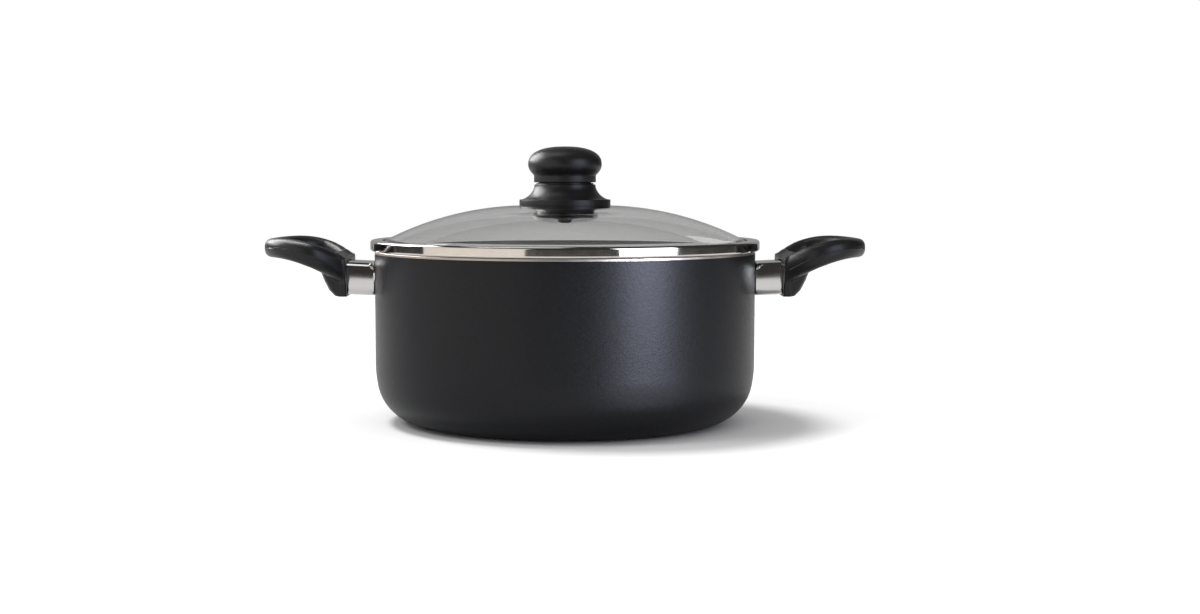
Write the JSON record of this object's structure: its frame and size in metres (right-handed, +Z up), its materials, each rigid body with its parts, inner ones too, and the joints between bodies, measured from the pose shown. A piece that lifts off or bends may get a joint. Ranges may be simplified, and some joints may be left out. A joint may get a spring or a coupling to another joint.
{
  "type": "cooking pot with glass lid",
  "caption": "Round dark-coated cooking pot with looped side handles and a loose domed glass lid in a rolled steel rim, lifted off by a black turned knob.",
  "frame": {"origin": "centre of the pot's flat base, on the surface it stands on", "axes": "+Z up along the axis of the pot and lid, +X and -X out through the handles"},
  "size_m": [0.387, 0.2502, 0.1772],
  "materials": {
    "dark_coating": "satin",
    "bare_aluminium": "satin",
    "polished_steel": "polished",
    "bright_rim": "polished",
    "black_phenolic": "satin",
    "zinc_steel": "satin",
    "clear_glass": "polished",
    "grey_silicone": "matte",
    "black_silicone": "matte",
    "brass": "satin"
  },
  "bodies": {
    "pot": {"pot_body": "dark_coating", "weld_stud_left": "bare_aluminium", "weld_stud_right": "bare_aluminium", "flame_guard_left": "polished_steel", "flame_guard_right": "polished_steel", "handle_left": "black_phenolic", "handle_right": "black_phenolic", "handle_screw_left": "zinc_steel", "handle_screw_right": "zinc_steel", "handle_washer_left": "zinc_steel", "handle_washer_right": "zinc_steel"},
    "lid": {"lid_glass": "clear_glass", "lid_rim": "bright_rim", "rim_gasket": "grey_silicone", "knob_cap": "black_phenolic", "knob_base": "black_phenolic", "knob_insert": "brass", "knob_seal_upper": "grey_silicone", "knob_seal_lower": "black_silicone", "knob_washer": "zinc_steel", "knob_screw": "zinc_steel"}
  },
  "joints": [
    {"name": "lid_lift", "type": "slide", "parent": "pot", "child": "lid", "axis": [0, 0, 1], "range_m": [0, 0.12]}
  ]
}
